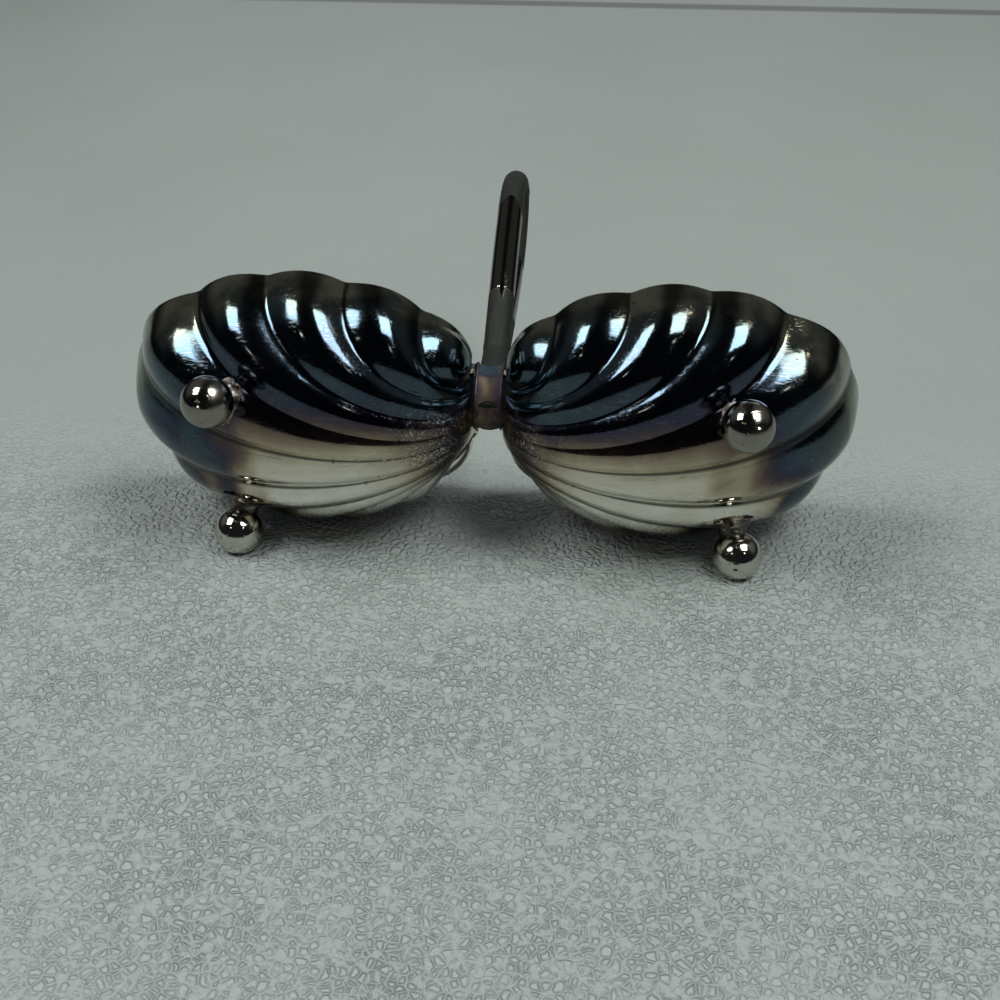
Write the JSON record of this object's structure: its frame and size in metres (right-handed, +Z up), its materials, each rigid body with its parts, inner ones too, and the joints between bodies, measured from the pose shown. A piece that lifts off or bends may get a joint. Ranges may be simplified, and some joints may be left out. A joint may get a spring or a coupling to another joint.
{
  "type": "bonbon dish",
  "caption": "Twin serving dish: two swirl-fluted shell bowls on ball feet, joined by a saddle that carries an upright teardrop loop handle.",
  "frame": {"origin": "on the floor, under the middle of the saddle", "axes": "+Z up through the handle, +X along the two bowls, Y across the dish in the plane of the loop"},
  "size_m": [0.1892, 0.0762, 0.1272],
  "materials": {
    "shell_silver": "tarnished silver plate on pressed nickel silver, mirror bright with blue-brown tarnish",
    "cast_silver": "silver plate on cast nickel silver, polished",
    "solder": "plated solder, dull and uneven"
  },
  "bodies": {
    "root": {"shell_left": "shell_silver", "shell_right": "shell_silver", "bridge_saddle": "shell_silver", "handle_loop": "cast_silver", "handle_rivet": "solder", "foot_ball_right_front": "cast_silver", "foot_collar_right_front": "solder", "foot_ball_right_back": "cast_silver", "foot_collar_right_back": "solder", "foot_ball_left_front": "cast_silver", "foot_collar_left_front": "solder", "foot_ball_left_back": "cast_silver", "foot_collar_left_back": "solder"}
  },
  "joints": []
}
